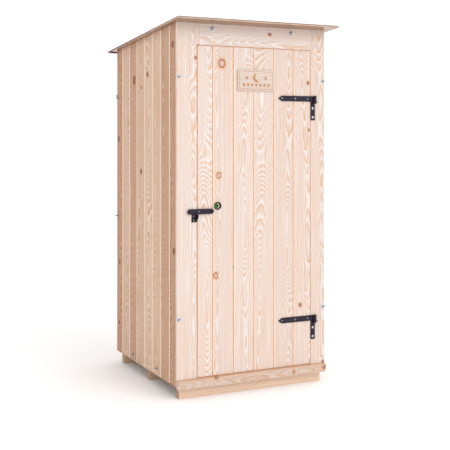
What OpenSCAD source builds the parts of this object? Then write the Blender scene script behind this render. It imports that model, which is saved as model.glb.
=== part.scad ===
// Wooden outhouse: a boarded cabin on three base beams, under a thin pent roof sheet.
// Millimetres. The origin is at ground level under the middle of the roof; the front faces -Y.

/* [Roof] */
// Width of the roof sheet, left to right
roof_w = 1050; // [900:10:1400]
// Depth of the roof sheet in plan, front to back
roof_d = 1210; // [1050:10:1600]
// Height of the roof's front top edge above the ground
roof_front_h = 2160; // [2100:10:2600]
// Fall of the roof towards the back, in degrees
roof_slope = 4.4; // [2:0.2:8]
// Thickness of the roof sheet
roof_t = 12; // [9:1:21]
// Roof overhang past each side wall
side_overhang = 37.5; // [20:0.5:80]
// Roof overhang past the front boards
front_overhang = 105; // [60:5:160]
// Roof overhang past the back wall
back_overhang = 75; // [30:5:120]

/* [Base] */
// Thickness of a base beam, front to back
beam_t = 40; // [34:1:60]
// Height of a base beam
beam_h = 92; // [85:1:120]
// Thickness of the floor deck
deck_t = 20; // [16:1:28]
// Height of the front sill
sill_h = 50; // [35:1:60]
// How far the sill stands in front of the front boards
sill_proud = 20; // [5:1:40]

/* [Walls] */
// Thickness of the wall boards
board_t = 20; // [16:1:28]
// Height of the side and back boards' lower edge above the ground
wall_bottom = 70; // [40:1:80]
// Width of the full-height board left of the door
left_board_w = 139.5; // [110:0.5:200]
// Width of the full-height board right of the door
right_board_w = 94.5; // [80:0.5:180]
// How much narrower the left board is beside the door
left_rebate = 17; // [5:1:30]
// Height of the doorway's head above the ground
doorway_top = 2018; // [1900:1:2030]

/* [Inner frame] */
// Thickness of rails and posts, measured from the boards
rail_t = 28; // [20:1:45]
// Height of a rail
rail_h = 45; // [35:1:70]
// Width of a door post
post_w = 45; // [35:1:60]
// Height of the middle rails' lower edge above the ground
mid_rail_z = 1050; // [700:5:1400]
// How far posts and header reach behind the door as its stop
door_stop = 15; // [8:1:25]

/* [Door] */
// Thickness of the door's boards
door_t = 15; // [12:1:18]
// Gap round the door at its head, foot and hinge side
door_gap = 5; // [5:0.5:8]
// Gap at the door's latch side
latch_gap = 6; // [6:0.5:9]
// Thickness of the ledges and braces behind the door
ledge_t = 20; // [16:1:28]
// Height of a ledge
ledge_h = 95; // [70:5:120]
// Height of the middle ledge's lower edge above the ground
mid_ledge_z = 935; // [850:5:935]
// Width of a brace's cut end, measured along its ledge
brace_cut = 125; // [80:5:160]
// Gap between the ledges' ends and the door posts
ledge_gap = 8; // [8:0.5:15]

/* [Hinges] */
// Height of the upper strap's centre line above the ground
upper_hinge_z = 1721; // [1600:1:1800]
// Height of the lower strap's centre line above the ground
lower_hinge_z = 394; // [390:1:500]
// Length of a strap from its point to the pin
strap_l = 250; // [180:1:360]
// Height of a strap
strap_h = 33; // [25:1:40]
// Thickness of a strap
strap_t = 4; // [3:0.5:5]
// Length of the strap's pointed end
strap_point = 26; // [10:1:32]
// Diameter of the hinge pin
pin_d = 10; // [8:0.5:12]
// Distance of the pin behind the door's edge, along the wall
pin_in = 26; // [22:1:30]
// Distance of the pin in front of the boards
pin_out = 12; // [11:0.5:15]
// Width of a hinge plate
plate_w = 28; // [20:1:30]
// Length of a hinge plate below its strap
plate_l = 112; // [80:1:140]

/* [Latch] */
// Height of the latch bar's centre line above the ground
latch_z = 1064; // [1055:1:1120]
// Distance of the latch bar's pivot from the door's edge
latch_pivot_in = 82; // [70:1:110]
// Distance between the centres of the latch bar's round ends
latch_span = 135; // [125:1:170]
// Height of the latch bar
latch_h = 30; // [22:1:34]
// Thickness of the latch bar
latch_t = 5; // [4:0.5:6]
// Diameter of the latch bar's pivot
latch_pin_d = 8; // [6:0.5:10]
// Width of the catch's plate
catch_w = 31; // [20:1:36]
// Height of the catch below the bar
catch_h = 44; // [35:1:60]
// How far the catch's lug stands in front of the boards
catch_out = 30; // [20:1:35]

/* [Sign and indicator] */
// Width of the sign board
sign_w = 242; // [150:1:300]
// Height of the sign board
sign_h = 123; // [80:1:160]
// Thickness of the sign board
sign_t = 8; // [4:1:12]
// Height of the sign board's centre above the ground
sign_z = 1822; // [1700:1:1900]
// Distance of the sign board's centre from the door's latch-side edge
sign_in = 373; // [250:1:420]
// Diameter of the indicator's ring
ring_d = 45; // [34:1:56]
// Width of the ring's rim
ring_rim = 5; // [4:0.5:9]
// Distance of the indicator from the door's latch-side edge
ring_in = 125; // [118:1:160]
// Height of the indicator's centre above the ground
ring_z = 1093; // [1085:1:1200]

/* [Hidden] */
$fn = 64;
eps = 0.01;

// Faces of the cabin
side_x = roof_w / 2 - side_overhang;
front_y = -roof_d / 2 + front_overhang;
back_y = roof_d / 2 - back_overhang;
inner_x = side_x - board_t;
inner_front_y = front_y + board_t;
inner_back_y = back_y - board_t;
rail_x = inner_x - rail_t;
floor_top = beam_h + deck_t;
back_beam_y = inner_back_y - rail_t - beam_t;
roof_seat = 0.1;

// Doorway and door
left_board_x = -side_x + left_board_w;
right_board_x = side_x - right_board_w;
door_l = left_board_x - left_rebate + latch_gap;
door_r = right_board_x - door_gap;
door_foot = floor_top + door_gap;
door_top = doorway_top - door_gap;
door_back_y = front_y + door_t;
header_z = door_top - door_stop;
left_post_x = door_l + door_stop;
right_post_x = door_r - door_stop;
ledge_l = left_post_x + ledge_gap;
ledge_r = right_post_x - ledge_gap;
top_ledge_z = upper_hinge_z - ledge_h / 2;
low_ledge_z = lower_hinge_z - ledge_h / 2;

// Hinges: the eye turns on the pin with a running clearance
pin_x = door_r + pin_in;
pin_y = front_y - pin_out;
pin_clear = 0.1;
pin_tail = 4;
eye_wall = 5;
eye_r = pin_d / 2 + eye_wall;
eye_gap = 0.5;
boss_h = 12;
joggle = 2;
joggle_back = 8;
plate_t = 4;
plate_lap = 2.5;

// Latch
latch_x = door_l + latch_pivot_in;
latch_base_t = 4;
latch_base_margin = 2;
latch_air = 1;
head_t = 3;
head_r = latch_pin_d / 2 + 3;
latch_back_y = front_y - latch_base_t - latch_air;
catch_t = 3;
lug_t = 4;
catch_air = 1;
catch_top = latch_z - latch_h / 2 - catch_air;
catch_x = door_l - latch_gap - 2;
lug_lip = 12;

// Indicator and the bolt behind it
ring_x = door_l + ring_in;
ring_t = 6;
disc_t = 3;
disc_air = 0.2;
case_w = 60;
case_h = 90;
case_t = 14;
rod_w = 14;
rod_t = 8;
turn_r = 11;
turn_t = 5;
turn_grip_w = 8;
turn_grip_l = 32;
turn_grip_t = 12;

// Height of the roof sheet's underside above a point y
function roof_under(y) = roof_front_h - roof_t / cos(roof_slope) - (y + roof_d / 2) * tan(roof_slope);

// Height at which what carries the roof sheet ends, above a point y
function seat_z(y) = roof_under(y) - roof_seat;

// A box given by its lowest and highest corners
module box(low, high) {
  translate(low) cube(high - low);
}

// An outline drawn in Y and Z, drawn out from x0 to x1
module along_x(x0, x1, outline) {
  translate([x0, 0, 0]) rotate([90, 0, 90]) linear_extrude(x1 - x0) polygon(outline);
}

// An outline drawn in X and Z, drawn out from y0 to y1
module along_y(y0, y1, outline) {
  translate([0, y1, 0]) rotate([90, 0, 0]) linear_extrude(y1 - y0) polygon(outline);
}

// A round bar or ring blank along Y, from y0 to y1
module round_y(x, z, r, y0, y1) {
  translate([x, y1, z]) rotate([90, 0, 0]) cylinder(r = r, h = y1 - y0);
}

// A slab that stands from z0 up to its seat under the roof sheet
module under_roof(x0, x1, y0, y1, z0) {
  along_x(x0, x1, [[y0, z0], [y1, z0], [y1, seat_z(y1)], [y0, seat_z(y0)]]);
}

// Base

module beam(y) {
  color("peru") box([-inner_x, y, 0], [inner_x, y + beam_t, beam_h]);
}

module front_beam() { beam(inner_front_y); }
module middle_beam() { beam((inner_front_y + back_beam_y) / 2); }
module back_beam() { beam(back_beam_y); }

module front_sill() {
  color("burlywood")
    box([-side_x, front_y - sill_proud, floor_top - sill_h], [side_x, inner_front_y, floor_top]);
}

module floor_deck() {
  color("burlywood")
    box([-rail_x, inner_front_y, beam_h], [rail_x, inner_back_y, floor_top]);
}

// A level rail along a side wall, on the side given by sign s
module side_rail(s, z) {
  color("burlywood")
    box([min(s * rail_x, s * inner_x), inner_front_y, z],
        [max(s * rail_x, s * inner_x), inner_back_y, z + rail_h]);
}

module left_floor_rail() { side_rail(-1, beam_h); }
module right_floor_rail() { side_rail(1, beam_h); }

// Walls

module side_wall(x0) {
  color("tan") under_roof(x0, x0 + board_t, inner_front_y, back_y, wall_bottom);
}

module left_wall() { side_wall(-side_x); }
module right_wall() { side_wall(inner_x); }

module back_wall() {
  color("tan") under_roof(-inner_x, inner_x, inner_back_y, back_y, wall_bottom);
}

// The left board is rebated beside the door, below the doorway's head
module front_board_left() {
  color("bisque") difference() {
    under_roof(-side_x, left_board_x, front_y, inner_front_y, floor_top);
    box([left_board_x - left_rebate, front_y - 1, floor_top - 1],
        [left_board_x + 1, inner_front_y + 1, doorway_top]);
  }
}

module front_board_right() {
  color("bisque") under_roof(right_board_x, side_x, front_y, inner_front_y, floor_top);
}

module lintel_board() {
  color("bisque") under_roof(left_board_x, right_board_x, front_y, inner_front_y, doorway_top);
}

// Inner frame

module door_post(x) {
  color("burlywood")
    box([x, inner_front_y, floor_top], [x + post_w, inner_front_y + rail_t, header_z]);
}

module door_post_left() { door_post(left_post_x - post_w); }
module door_post_right() { door_post(right_post_x); }

module door_header() {
  color("burlywood")
    under_roof(-rail_x, rail_x, inner_front_y, inner_front_y + rail_t, header_z);
}

// A rail that follows the roof's fall along a side wall
module sloped_rail(x0) {
  color("burlywood")
    along_x(x0, x0 + rail_t, [
      [inner_front_y, seat_z(inner_front_y) - rail_h],
      [inner_back_y, seat_z(inner_back_y) - rail_h],
      [inner_back_y, seat_z(inner_back_y)],
      [inner_front_y, seat_z(inner_front_y)]
    ]);
}

module left_top_rail() { sloped_rail(-inner_x); }
module right_top_rail() { sloped_rail(rail_x); }

module back_top_rail() {
  color("burlywood")
    under_roof(-rail_x, rail_x, inner_back_y - rail_t, inner_back_y,
               seat_z(inner_back_y) - rail_h);
}

module left_middle_rail() { side_rail(-1, mid_rail_z); }
module right_middle_rail() { side_rail(1, mid_rail_z); }

module back_rail(z) {
  color("burlywood")
    box([-rail_x, inner_back_y - rail_t, z], [rail_x, inner_back_y, z + rail_h]);
}

module back_middle_rail() { back_rail(mid_rail_z); }
module back_bottom_rail() { back_rail(floor_top); }

// Roof

module roof_sheet() {
  rise = roof_t / cos(roof_slope);
  color("saddlebrown")
    along_x(-roof_w / 2, roof_w / 2, [
      [-roof_d / 2, roof_under(-roof_d / 2)],
      [roof_d / 2, roof_under(roof_d / 2)],
      [roof_d / 2, roof_under(roof_d / 2) + rise],
      [-roof_d / 2, roof_under(-roof_d / 2) + rise]
    ]);
}

// Door

module door_panel() {
  color("bisque") box([door_l, front_y, door_foot], [door_r, door_back_y, door_top]);
}

module door_ledge(z) {
  color("burlywood")
    box([ledge_l, door_back_y, z], [ledge_r, door_back_y + ledge_t, z + ledge_h]);
}

module door_ledge_top() { door_ledge(top_ledge_z); }
module door_ledge_middle() { door_ledge(mid_ledge_z); }
module door_ledge_bottom() { door_ledge(low_ledge_z); }

// A brace rises from the hinge side of one ledge to the latch side of the next
module door_brace(z0, z1) {
  color("burlywood")
    along_y(door_back_y, door_back_y + ledge_t, [
      [ledge_r - brace_cut, z0], [ledge_r, z0], [ledge_l + brace_cut, z1], [ledge_l, z1]
    ]);
}

module door_brace_upper() { door_brace(mid_ledge_z + ledge_h, top_ledge_z); }
module door_brace_lower() { door_brace(low_ledge_z + ledge_h, mid_ledge_z); }

// A pointed strap on the door's face, joggled off the frame board and rolled into an eye
module hinge_strap(z) {
  tip = pin_x - strap_l;
  step = door_r - joggle_back;
  color([0.15, 0.14, 0.16]) difference() {
    union() {
      along_y(front_y - strap_t, front_y, [
        [tip, z], [tip + strap_point, z - strap_h / 2], [step + joggle_back / 2, z - strap_h / 2],
        [step + joggle_back / 2, z + strap_h / 2], [tip + strap_point, z + strap_h / 2]
      ]);
      box([step, front_y - strap_t - joggle, z - strap_h / 2], [pin_x, front_y - joggle, z + strap_h / 2]);
      translate([pin_x, pin_y, z - strap_h / 2]) cylinder(r = eye_r, h = strap_h);
    }
    translate([pin_x, pin_y, z - strap_h / 2 - 1]) cylinder(r = pin_d / 2 + pin_clear, h = strap_h + 2);
  }
}

module hinge_strap_upper() { hinge_strap(upper_hinge_z); }
module hinge_strap_lower() { hinge_strap(lower_hinge_z); }

// A plate on the frame board that carries the upright hinge pin on a boss
module hinge_plate(z) {
  seat = z - strap_h / 2 - eye_gap;
  plate_x = right_board_x - plate_lap;
  color([0.15, 0.14, 0.16]) {
    box([plate_x, front_y - plate_t, seat - plate_l], [plate_x + plate_w, front_y, seat]);
    translate([pin_x, pin_y, seat - boss_h]) cylinder(r = eye_r, h = boss_h);
    translate([pin_x, pin_y, seat - boss_h]) cylinder(d = pin_d, h = boss_h + eye_gap + strap_h + pin_tail);
  }
}

module hinge_plate_upper() { hinge_plate(upper_hinge_z); }
module hinge_plate_lower() { hinge_plate(lower_hinge_z); }

module sign_board() {
  x = door_l + sign_in;
  color("wheat")
    box([x - sign_w / 2, front_y - sign_t, sign_z - sign_h / 2], [x + sign_w / 2, front_y, sign_z + sign_h / 2]);
}

// Vacancy indicator on the face, and the bolt that turns it on the inside

module indicator_ring() {
  color([0.1, 0.1, 0.1]) difference() {
    round_y(ring_x, ring_z, ring_d / 2, front_y - ring_t, front_y);
    round_y(ring_x, ring_z, ring_d / 2 - ring_rim, front_y - ring_t - 1, front_y + 1);
  }
}

module indicator_disc() {
  color("limegreen")
    round_y(ring_x, ring_z, ring_d / 2 - ring_rim - disc_air, front_y - disc_t, front_y);
}

module bolt_case() {
  color([0.1, 0.1, 0.1])
    box([ring_x - case_w / 2, door_back_y, ring_z - case_h / 2 + case_h / 8],
        [ring_x + case_w / 2, door_back_y + case_t, ring_z + case_h / 2 + case_h / 8]);
}

module bolt_rod() {
  mid_y = door_back_y + case_t / 2;
  color("silver")
    box([ledge_l, mid_y - rod_t / 2, ring_z - rod_w / 2], [ring_x - case_w / 2, mid_y + rod_t / 2, ring_z + rod_w / 2]);
}

module thumb_turn() {
  y = door_back_y + case_t;
  color([0.1, 0.1, 0.1]) {
    round_y(ring_x, ring_z, turn_r, y, y + turn_t);
    box([ring_x - turn_grip_w / 2, y + turn_t - eps, ring_z - turn_grip_l / 2],
        [ring_x + turn_grip_w / 2, y + turn_t + turn_grip_t, ring_z + turn_grip_l / 2]);
  }
}

// Latch: a bar that turns on the door and rests on the catch's lug

// A round-ended bar in X and Z, with its right-hand centre at the pivot
module round_bar(span, h, y0, y1) {
  round_y(latch_x, latch_z, h / 2, y0, y1);
  round_y(latch_x - span, latch_z, h / 2, y0, y1);
  box([latch_x - span, y0, latch_z - h / 2], [latch_x, y1, latch_z + h / 2]);
}

module latch_base() {
  base_h = latch_h - 2 * latch_base_margin;
  span = latch_x - door_l - base_h / 2 - latch_base_margin;
  color([0.15, 0.14, 0.16]) round_bar(span, base_h, front_y - latch_base_t, front_y);
}

module latch_bar() {
  color([0.15, 0.14, 0.16]) difference() {
    round_bar(latch_span, latch_h, latch_back_y - latch_t, latch_back_y);
    round_y(latch_x, latch_z, latch_pin_d / 2 + pin_clear, latch_back_y - latch_t - 1, latch_back_y + 1);
  }
}

module latch_pivot() {
  head_y = latch_back_y - latch_t - latch_air;
  color([0.15, 0.14, 0.16]) {
    round_y(latch_x, latch_z, latch_pin_d / 2, head_y, front_y - latch_base_t);
    round_y(latch_x, latch_z, head_r, head_y - head_t, head_y);
  }
}

module latch_catch() {
  foot = catch_top - catch_h;
  color([0.15, 0.14, 0.16]) {
    box([catch_x - catch_w, front_y - catch_t, foot], [catch_x, front_y, catch_top]);
    along_x(catch_x - lug_t, catch_x, [
      [front_y, foot], [front_y, catch_top], [front_y - catch_out, catch_top],
      [front_y - catch_out, catch_top - lug_lip], [front_y - catch_t, foot]
    ]);
  }
}

front_beam();
middle_beam();
back_beam();
front_sill();
floor_deck();
left_floor_rail();
right_floor_rail();
left_wall();
right_wall();
back_wall();
front_board_left();
front_board_right();
lintel_board();
door_post_left();
door_post_right();
door_header();
left_top_rail();
right_top_rail();
back_top_rail();
left_middle_rail();
right_middle_rail();
back_middle_rail();
back_bottom_rail();
roof_sheet();
hinge_plate_upper();
hinge_plate_lower();
latch_catch();
door_panel();
door_ledge_top();
door_ledge_middle();
door_ledge_bottom();
door_brace_upper();
door_brace_lower();
hinge_strap_upper();
hinge_strap_lower();
sign_board();
indicator_ring();
indicator_disc();
bolt_case();
bolt_rod();
thumb_turn();
latch_base();
latch_pivot();
latch_bar();
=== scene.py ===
"""The looks of a wooden outhouse: pine boards with their grain and knots, a brown film-faced roof,
black hinges and latch, zinc wing nuts, a plain moon sign and a vacancy indicator.

Metres, in the CAD model's frame: +Z up, the door faces -Y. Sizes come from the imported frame.
A board's own axes are across its face, in depth behind it, and along it."""

import math
import random

import bmesh
import bpy
from mathutils import Matrix, Vector


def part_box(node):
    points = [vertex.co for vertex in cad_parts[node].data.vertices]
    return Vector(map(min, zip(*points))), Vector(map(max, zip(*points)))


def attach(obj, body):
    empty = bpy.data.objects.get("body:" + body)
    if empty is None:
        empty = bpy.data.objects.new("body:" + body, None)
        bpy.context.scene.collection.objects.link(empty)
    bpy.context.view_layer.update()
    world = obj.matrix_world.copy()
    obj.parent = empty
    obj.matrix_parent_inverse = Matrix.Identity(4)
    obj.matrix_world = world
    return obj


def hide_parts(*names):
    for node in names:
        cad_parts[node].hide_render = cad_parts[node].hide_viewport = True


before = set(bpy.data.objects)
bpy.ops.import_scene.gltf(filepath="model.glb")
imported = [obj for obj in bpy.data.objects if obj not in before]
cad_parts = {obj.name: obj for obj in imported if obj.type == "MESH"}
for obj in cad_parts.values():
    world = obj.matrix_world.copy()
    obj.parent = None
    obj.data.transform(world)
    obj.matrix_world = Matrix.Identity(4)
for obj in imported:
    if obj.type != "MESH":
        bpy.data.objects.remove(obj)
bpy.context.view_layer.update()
random.seed(11)

MM = 0.001
EDGE = 1.4 * MM  # eased edges
GROOVE = 4.0 * MM  # chamfers between the walls' boards
FRONT_GROOVE = 3.2 * MM  # chamfers between the door's boards
FOOT = 4.6 * MM  # the flat at the foot of a joint
FLAT_EDGE = 0.1 * MM  # the same where a board has no joint
LEFT_SPREAD = 1.7  # a left-hand chamfer's width over its depth
TONGUE_DEPTHS = (3.5 * MM, 3.8 * MM, 11.0 * MM, 11.5 * MM)  # behind the face: foot, tip, tip, foot
BOARD_PITCH = 0.1335
SIDE_PITCH = 0.134
GRAIN_HEIGHT = 1.0  # upright boards count their grain from here
TOP = 9.0  # a station that ends under the roof
KNOT_LAYERS = ("knot_a", "knot_b", "knot_c", "knot_d")
LAYERS = ("grain", "board", *KNOT_LAYERS)
NO_KNOT = (0.0, -9.0, 0.004)  # far off every board
OUT_LEFT, OUT_RIGHT, OUT_FRONT = (-1, 0, 0), (1, 0, 0), (0, -1, 0)


# -------- camera


def make_camera():
    """A level view from the front left, with the frame lowered by shift."""
    data = bpy.data.cameras.new("camera")
    data.lens = 72.6
    data.sensor_width = 36.0
    data.shift_y = -0.191
    camera = bpy.data.objects.new("camera", data)
    camera.location = (-2.475, -5.230, 1.478)
    camera.rotation_euler = (math.radians(90), 0, math.radians(-25.82))
    bpy.context.scene.collection.objects.link(camera)
    bpy.context.scene.camera = camera


make_camera()


# -------- measures from the frame


def corners(node):
    """A CAD node's lowest and highest corner."""
    low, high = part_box(node)
    return Vector(low), Vector(high)


left_low, left_high = corners("left_wall")
back_low, back_high = corners("back_wall")
panel_low, panel_high = corners("door_panel")
roof_low, roof_high = corners("roof_sheet")
FALL = (left_high.z - back_high.z) / (back_low.y - left_low.y)
ROOF_TOP_Z = roof_high.z + FALL * roof_low.y  # the roof's top at y = 0
ROOF_THICK = ROOF_TOP_Z - FALL * roof_high.y - roof_low.z


def seat(y):
    """Height at which the walls end under the roof sheet."""
    return left_high.z - FALL * (y - left_low.y)


# -------- node graphs


class Graph:
    """Builds one material's nodes with short calls."""

    def __init__(self, name):
        self.material = bpy.data.materials.new(name)
        self.material.use_nodes = True
        self.tree = self.material.node_tree
        self.shader = self.tree.nodes["Principled BSDF"]

    def put(self, socket, value):
        if isinstance(value, bpy.types.NodeSocket):
            self.tree.links.new(value, socket)
        elif socket.type == "RGBA" and len(value) == 3:
            socket.default_value = (*value, 1.0)
        else:
            socket.default_value = value

    def set(self, **inputs):
        for name, value in inputs.items():
            self.put(self.shader.inputs[name.replace("_", " ")], value)

    def node(self, kind, *values, **settings):
        made = self.tree.nodes.new("ShaderNode" + kind)
        for name, value in settings.items():
            setattr(made, name, value)
        for socket, value in zip(made.inputs, values):
            if value is not None:
                self.put(socket, value)
        return made

    def math(self, operation, a, b=None, c=None):
        return self.node("Math", a, b, c, operation=operation).outputs[0]

    def times(self, a, b):
        return self.math("MULTIPLY", a, b)

    def hypot(self, a, b):
        return self.math("SQRT", self.math("ADD", self.times(a, a), self.times(b, b)))

    def split(self, vector):
        return self.node("SeparateXYZ", vector).outputs

    def join(self, x, y, z):
        return self.node("CombineXYZ", x, y, z).outputs[0]

    def place(self):
        """The shaded point in the object's own frame, which is the model's at rest."""
        return self.node("TexCoord").outputs["Object"]

    def noise(self, vector, scale, detail=2.0, roughness=0.5):
        made = self.node("TexNoise", noise_dimensions="3D")
        self.put(made.inputs["Vector"], vector)
        made.inputs["Scale"].default_value = scale
        made.inputs["Detail"].default_value = detail
        made.inputs["Roughness"].default_value = roughness
        return made.outputs[0]

    def mix(self, amount, a, b, blend="MIX"):
        made = self.node("Mix", data_type="RGBA", blend_type=blend, clamp_factor=True)
        factor, colour_a, colour_b = made.inputs[0], made.inputs[6], made.inputs[7]
        self.put(factor, amount)
        self.put(colour_a, a)
        self.put(colour_b, b)
        return made.outputs[2]

    def fade(self, value, low, high, to_low=0.0, to_high=1.0):
        """A smooth step from to_low at low to to_high at high."""
        made = self.node("MapRange", value, low, high, to_low, to_high, interpolation_type="SMOOTHSTEP")
        return made.outputs[0]

    def bell(self, squared, rate):
        """Falls off from 1 with a squared distance."""
        return self.math("POWER", 2.718, self.times(squared, -rate))

    def attribute(self, name):
        return self.node("Attribute", attribute_name=name).outputs["Vector"]

    def bump(self, height, strength, distance):
        made = self.node("Bump")
        made.inputs["Strength"].default_value = strength
        made.inputs["Distance"].default_value = distance
        self.put(made.inputs["Height"], height)
        self.put(self.shader.inputs["Normal"], made.outputs[0])


def scaled(colour, factor):
    return tuple(factor * c for c in colour)


# -------- pine

# Changes of the figure per metre, across and along a board.
DRIFT_RATE = (2.2, 0.95)
WAVE_RATE = (12.0, 1.6)
JAG_RATE = (130.0, 11.0)
PATCH_RATE = (14.0, 2.2)
STREAK_RATE = (85.0, 2.4)
FIBRE_RATE = (620.0, 9.0)
FIBRE_DEPTH_RATE = 300.0
MOTTLE_RATE = 55.0
SEED_SPREAD = 41.0  # takes each board to its own part of the noise

PITH_DEPTH = 0.060  # behind the face
PITH_WANDER_ACROSS = 0.05
PITH_WANDER_DEPTH = 0.34
WAVE = 0.006  # how far the rings stray, slowly and finely
JAG = 0.0042
RING_RISE = 2.8  # how late in a ring its wood darkens
RING_END = 0.86  # where in a ring the dark wood starts to end

KNOT_SHORTEN = 0.84  # knots are longer along the board than across it
KNOT_WOBBLE = 0.45  # unevenness of a knot's outline, in its radii
KNOT_TURNS = 2.6  # its own rings
KNOT_RIM = (0.62, 0.36, 0.17)  # the rim's tint over the knot's colour
RING_BOW = 1.9  # how far the rings bow round it, in its radii
BOW_FALL = 0.11
STIR = 1.35  # how strong the rings are beside it
STIR_FALL = 0.05
PIN_KNOT, FULL_KNOT = 0.010, 0.014  # a knot's heart is dark up to the first radius, plain from the second


def knot_distance(g, mottle, across, along, spot):
    """How far a point is from one knot, in the knot's radii, and that radius."""
    where_a, where_s, radius = g.split(spot)
    a = g.math("SUBTRACT", across, where_a)
    s = g.times(g.math("SUBTRACT", along, where_s), KNOT_SHORTEN)
    wobble = g.times(g.math("SUBTRACT", mottle, 0.5), KNOT_WOBBLE)
    return g.math("ADD", g.math("DIVIDE", g.hypot(a, s), radius), wobble), radius


def paint_groove_light(g, colour, across, depth, groove_shade, chamfer_highlight, highlight_to):
    """Painted warm shade on a board's chamfers and tongue; a painted highlight on the left-hand chamfer down
    to a depth.
    """
    # Painted shade: the joint colour covers the chamfers and the tongue, from just under the face to behind
    # the chamfers.
    sunk = g.math("ABSOLUTE", depth)
    below_face = g.fade(sunk, 0.1 * MM, 0.4 * GROOVE)
    above_back = g.fade(sunk, 1.05 * GROOVE, 1.4 * GROOVE, 1.0, 0.0)
    left_hand = g.fade(across, -0.01, 0.01, 1.0, 0.0)
    # Painted highlight: the left-hand chamfer is paler down to the given depth.
    highlight_mask = g.times(left_hand, g.fade(sunk, 0.7 * highlight_to, highlight_to, 1.0, 0.0))
    return g.mix(g.times(below_face, above_back), colour, g.mix(highlight_mask, groove_shade, chamfer_highlight))


def paint_knots(g, colour, knots, knot_colour, late):
    """A halo, a ringed heart and a dark rim for each (distance, radius) in knots."""
    rim_colour = tuple(tint * c for tint, c in zip(KNOT_RIM, knot_colour))
    for near, size in knots:
        halo = g.fade(near, 0.9, 2.2, 0.45, 0.0)
        colour = g.mix(halo, colour, late)
        turn = g.math("FRACT", g.times(near, KNOT_TURNS))
        heart = g.mix(g.fade(size, PIN_KNOT, FULL_KNOT), scaled(knot_colour, 0.4), knot_colour)
        ringed = g.mix(g.fade(turn, 0.35, 0.9, 0.0, 0.55), heart, late)
        inside = g.fade(near, 0.90, 1.04, 1.0, 0.0)
        colour = g.mix(inside, colour, ringed)
        rim = g.times(g.fade(near, 0.60, 0.88), g.fade(near, 1.0, 1.30, 1.0, 0.0))
        colour = g.mix(rim, colour, rim_colour)
    return colour


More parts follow.
